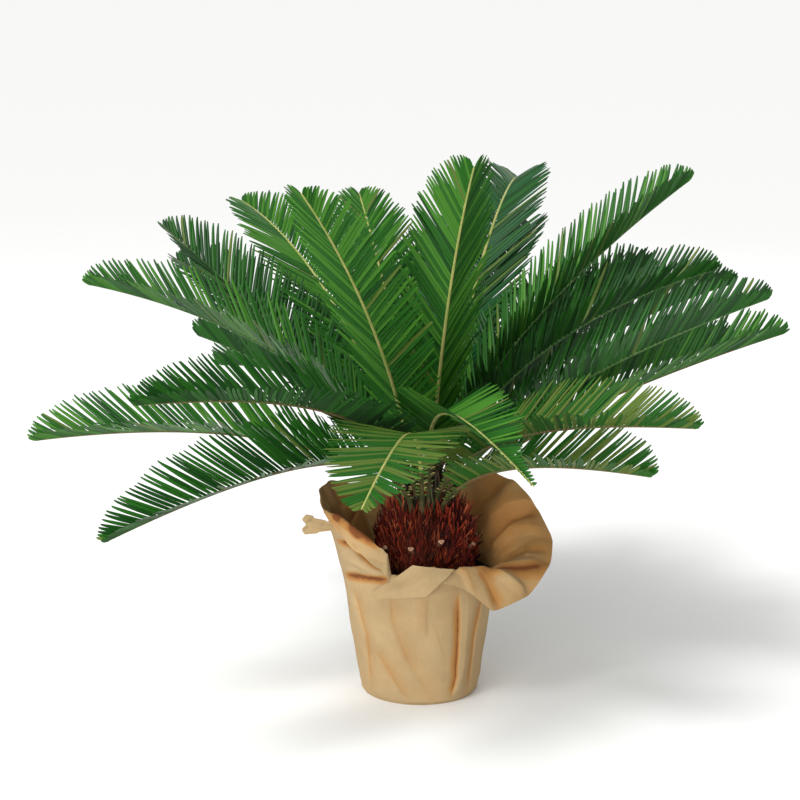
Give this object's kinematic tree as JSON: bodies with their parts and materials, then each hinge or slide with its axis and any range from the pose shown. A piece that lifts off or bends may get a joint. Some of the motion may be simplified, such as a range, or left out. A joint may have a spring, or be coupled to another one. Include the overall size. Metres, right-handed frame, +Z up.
{
  "type": "potted sago palm",
  "caption": "Potted sago palm: a round shaggy stem with a spreading rosette of arching feather-like leaves, in a nursery pot wrapped in folded brown paper.",
  "frame": {"origin": "centre of the paper wrap's flat underside, on the surface that the plant stands on", "axes": "+Z up through the pot, -Y towards the front of the plant, +X to the right as seen from the front"},
  "size_m": [0.8077, 0.8884, 0.6286],
  "materials": {
    "pot": "matte black moulded plastic",
    "soil": "dark crumbly potting soil of peat and bark",
    "wrap": "creased brown wrapping paper",
    "brim": "creased brown wrapping paper, folded outwards",
    "bulb": "reddish brown fibres and old leaf bases",
    "frond": "glossy deep green leaflets on a pale green rib"
  },
  "bodies": {
    "root": {"nursery_pot": "pot", "soil": "soil", "paper_wrap": "wrap", "paper_brim": "brim", "bulb": "bulb", "frond_low_front_left": "frond", "frond_low_left_1": "frond", "frond_low_left_2": "frond", "frond_mid_left_1": "frond", "frond_mid_left_2": "frond", "frond_mid_left_3": "frond", "frond_mid_back_left_1": "frond", "frond_top_back_left": "frond", "frond_top_front_left": "frond", "frond_top_back_1": "frond", "frond_top_front": "frond", "frond_top_back_2": "frond", "frond_mid_back_right_1": "frond", "frond_top_right": "frond", "frond_mid_right_1": "frond", "frond_mid_right_2": "frond", "frond_mid_right_3": "frond", "frond_low_right_1": "frond", "frond_low_right_2": "frond", "frond_low_front_right": "frond", "frond_low_back_1": "frond", "frond_low_back_2": "frond", "frond_low_back_3": "frond", "frond_low_back_4": "frond", "frond_low_back_5": "frond", "frond_mid_back_1": "frond", "frond_mid_back_2": "frond", "frond_mid_back_3": "frond", "frond_mid_back_4": "frond", "frond_mid_back_5": "frond"}
  },
  "joints": []
}
